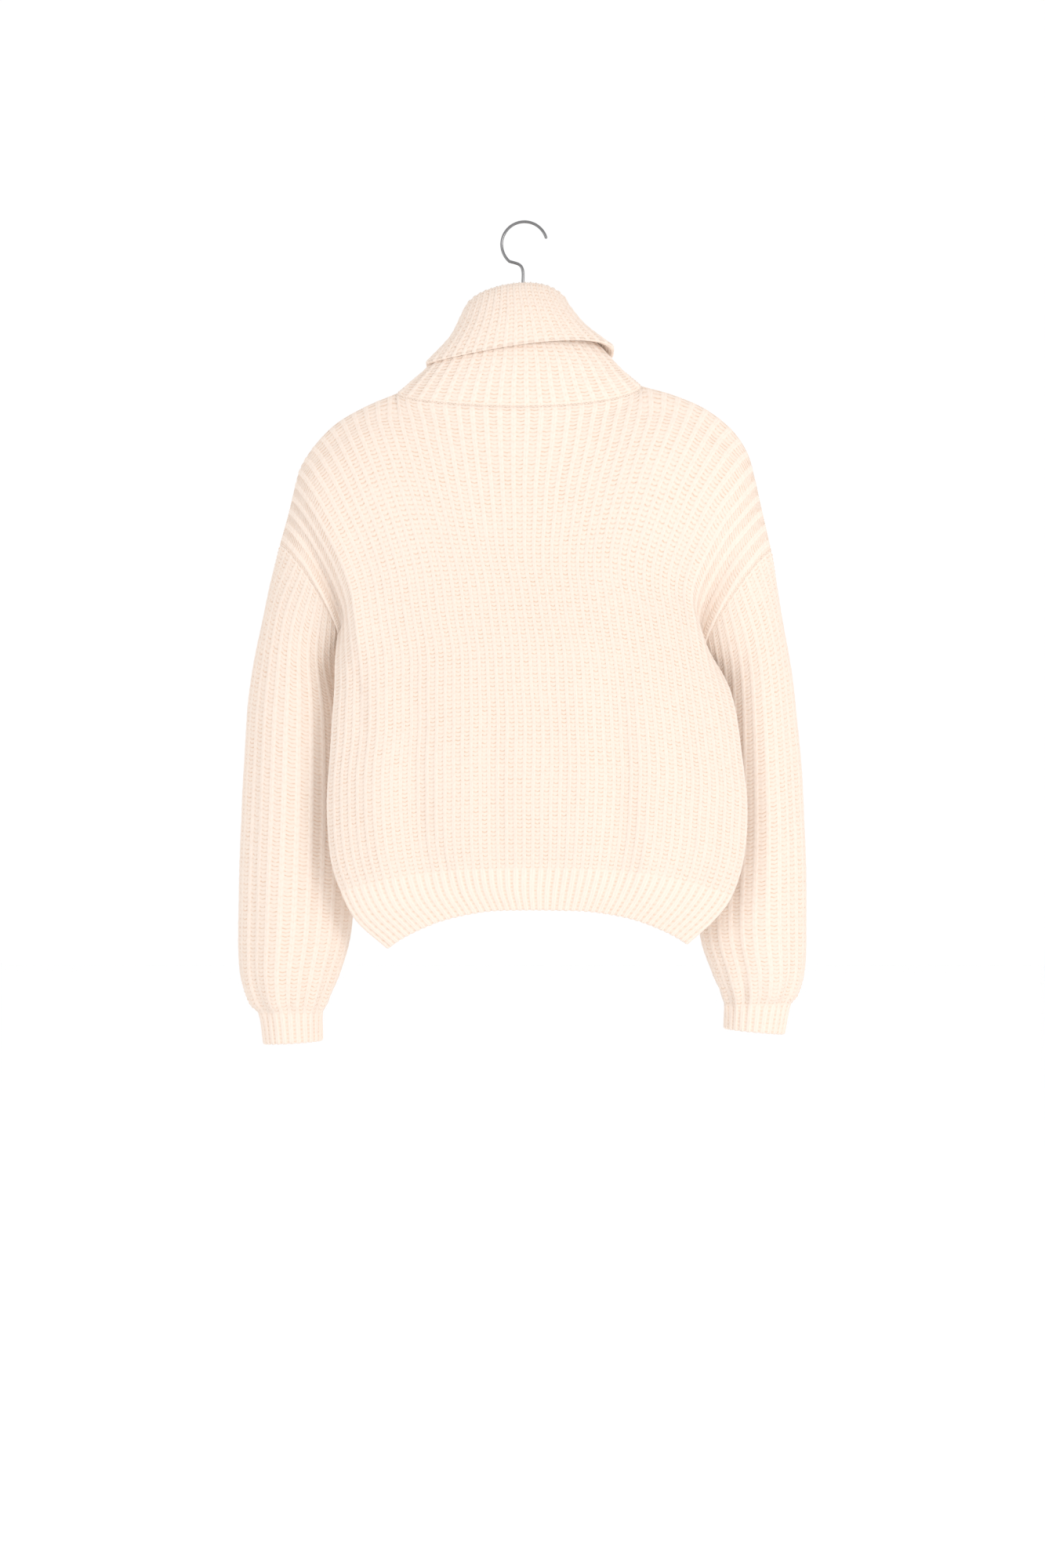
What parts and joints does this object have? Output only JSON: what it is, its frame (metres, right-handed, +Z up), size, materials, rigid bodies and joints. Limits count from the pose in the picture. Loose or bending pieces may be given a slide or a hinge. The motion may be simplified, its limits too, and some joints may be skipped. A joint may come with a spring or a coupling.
{
  "type": "sweater on a hanger",
  "caption": "Chunky rib-knit sweater with a folded roll neck, drop shoulders and balloon sleeves, hung on a hanger with a wire hook.",
  "frame": {"origin": "inside top of the wire hook, where a rail carries it", "axes": "+Z up along the hook's shank; -Y faces the garment's back, +Y its front; +X towards its right sleeve as seen from the back"},
  "size_m": [0.6215, 0.1618, 0.8934],
  "materials": {
    "knit": "chunky half-cardigan rib in cream yarn, matt and slightly fuzzy",
    "collar_knit": "the same cream yarn in a finer rib",
    "hanger_wood": "satin varnish",
    "hook_wire": "polished"
  },
  "bodies": {
    "root": {"back": "knit", "front": "knit", "sleeve_left": "knit", "sleeve_right": "knit", "collar": "collar_knit", "hanger_bar": "hanger_wood", "hook": "hook_wire"}
  },
  "joints": []
}
